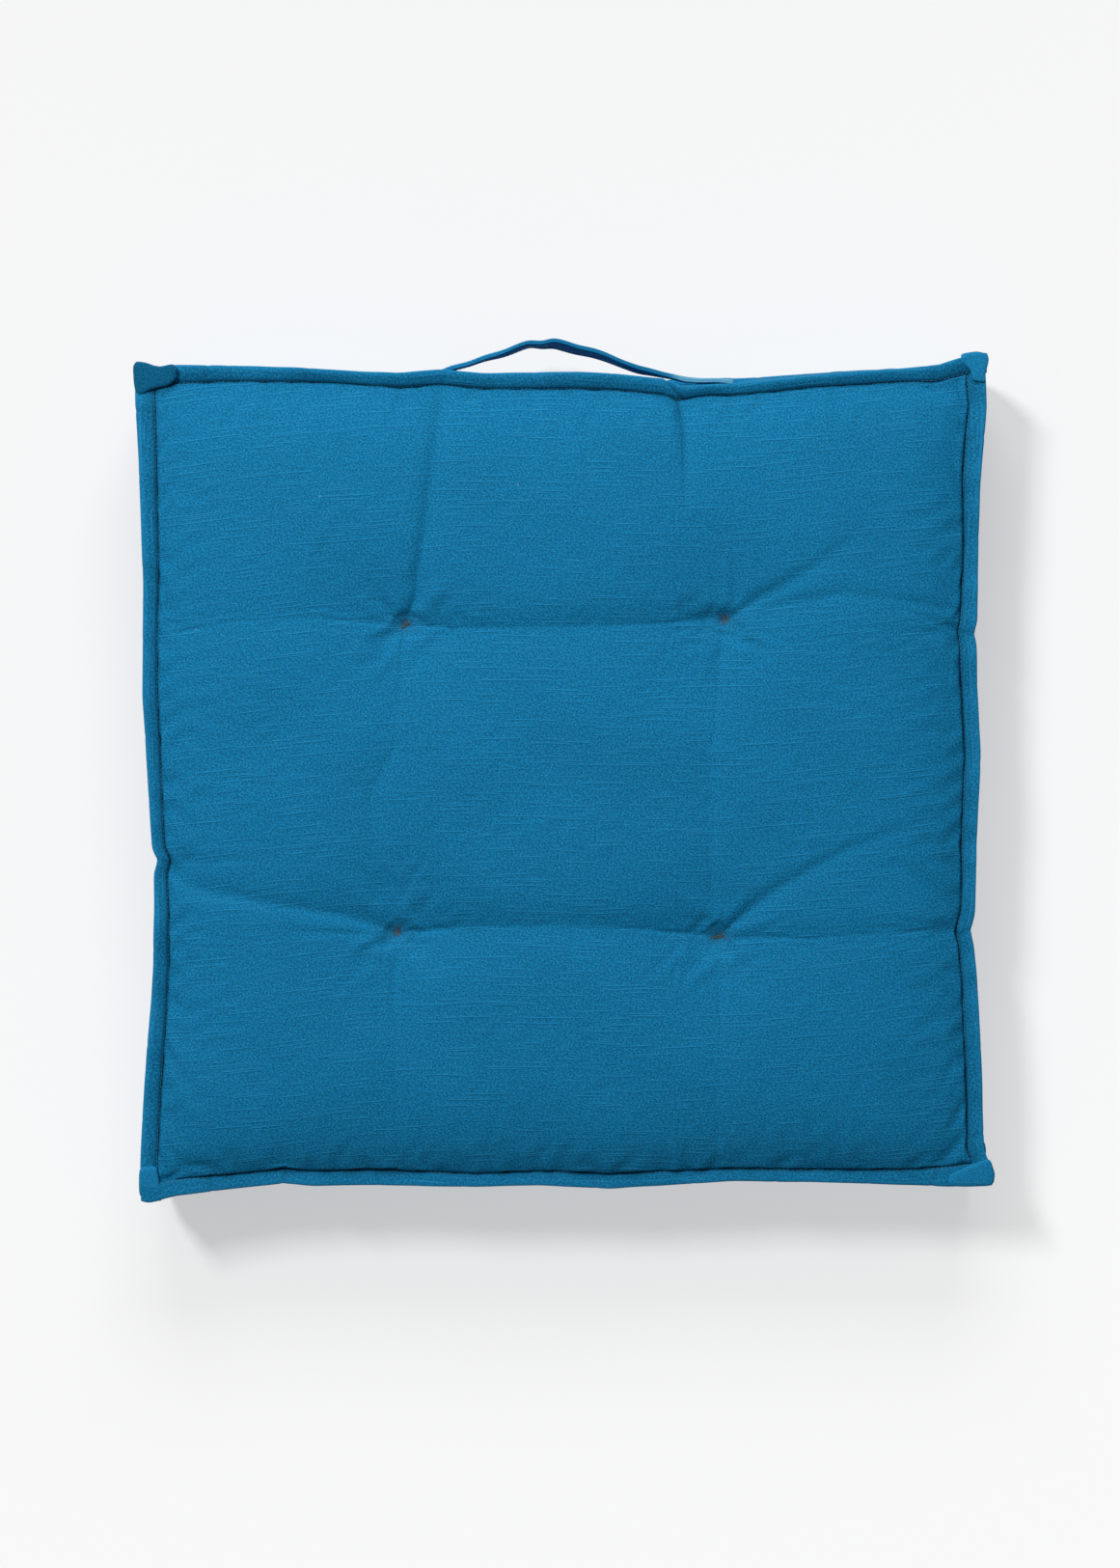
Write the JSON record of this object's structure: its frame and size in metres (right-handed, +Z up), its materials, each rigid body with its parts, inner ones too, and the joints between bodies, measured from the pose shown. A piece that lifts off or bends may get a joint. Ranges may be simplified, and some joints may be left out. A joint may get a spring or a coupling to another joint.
{
  "type": "floor cushion",
  "caption": "Square tufted floor cushion with boxed sides, flat sewn flange edges and a cloth carrying handle on the back side.",
  "frame": {"origin": "middle of the cushion's flat underside, on the floor", "axes": "+Z up, +Y towards the side that carries the handle, +X to the right seen from above with the handle side away"},
  "size_m": [0.6, 0.6177, 0.104],
  "materials": {
    "cover_cloth": "matt slub cotton",
    "flange_cloth": "matt slub cotton, folded and topstitched",
    "band_cloth": "matt slub cotton",
    "strap_cloth": "matt cotton, folded in several layers",
    "stitch_thread": "twisted sewing thread",
    "tuft_twine": "fuzzy doubled twine",
    "wadding": "carded fibre wadding"
  },
  "bodies": {
    "base": {"bottom_panel": "cover_cloth", "bottom_edge_front": "flange_cloth", "bottom_edge_right": "flange_cloth", "bottom_edge_back": "flange_cloth", "bottom_edge_left": "flange_cloth", "side_band_front": "band_cloth", "side_band_right": "band_cloth", "side_band_back": "band_cloth", "side_band_left": "band_cloth", "bottom_edge_stitching": "stitch_thread", "wadding_lower": "wadding", "wadding_middle": "wadding", "tuft_thread_front_left": "tuft_twine", "tuft_thread_front_right": "tuft_twine", "tuft_thread_back_left": "tuft_twine", "tuft_thread_back_right": "tuft_twine"},
    "top": {"top_panel": "cover_cloth", "top_edge_front": "flange_cloth", "top_edge_right": "flange_cloth", "top_edge_back": "flange_cloth", "top_edge_left": "flange_cloth", "top_edge_stitching": "stitch_thread", "wadding_upper": "wadding", "top_tuft_stitches": "tuft_twine"},
    "handle_ends": {"handle_end_left": "strap_cloth", "handle_end_right": "strap_cloth", "handle_end_stitching_left": "stitch_thread", "handle_end_stitching_right": "stitch_thread"},
    "handle": {"handle_strap": "strap_cloth", "handle_edge_stitching": "stitch_thread"}
  },
  "joints": [
    {"name": "sit_compress", "type": "slide", "parent": "base", "child": "top", "axis": [0, 0, -1], "range_m": [0, 0.03], "stiffness_N_per_m": 15000, "deforming": ["side_band_front", "side_band_right", "side_band_back", "side_band_left", "wadding_middle", "tuft_thread_front_left", "tuft_thread_front_right", "tuft_thread_back_left", "tuft_thread_back_right"]},
    {"name": "handle_follow", "type": "slide", "parent": "base", "child": "handle_ends", "axis": [0, 0, -1], "range_m": [0, 0.015]},
    {"name": "handle_swing", "type": "hinge", "parent": "handle_ends", "child": "handle", "pos_m": [0, 0.2847, 0.047], "axis": [1, 0, 0], "range_deg": [-30, 35]}
  ],
  "couplings": [
    {"joint": "handle_follow", "follows": "sit_compress", "ratio": 0.5}
  ]
}
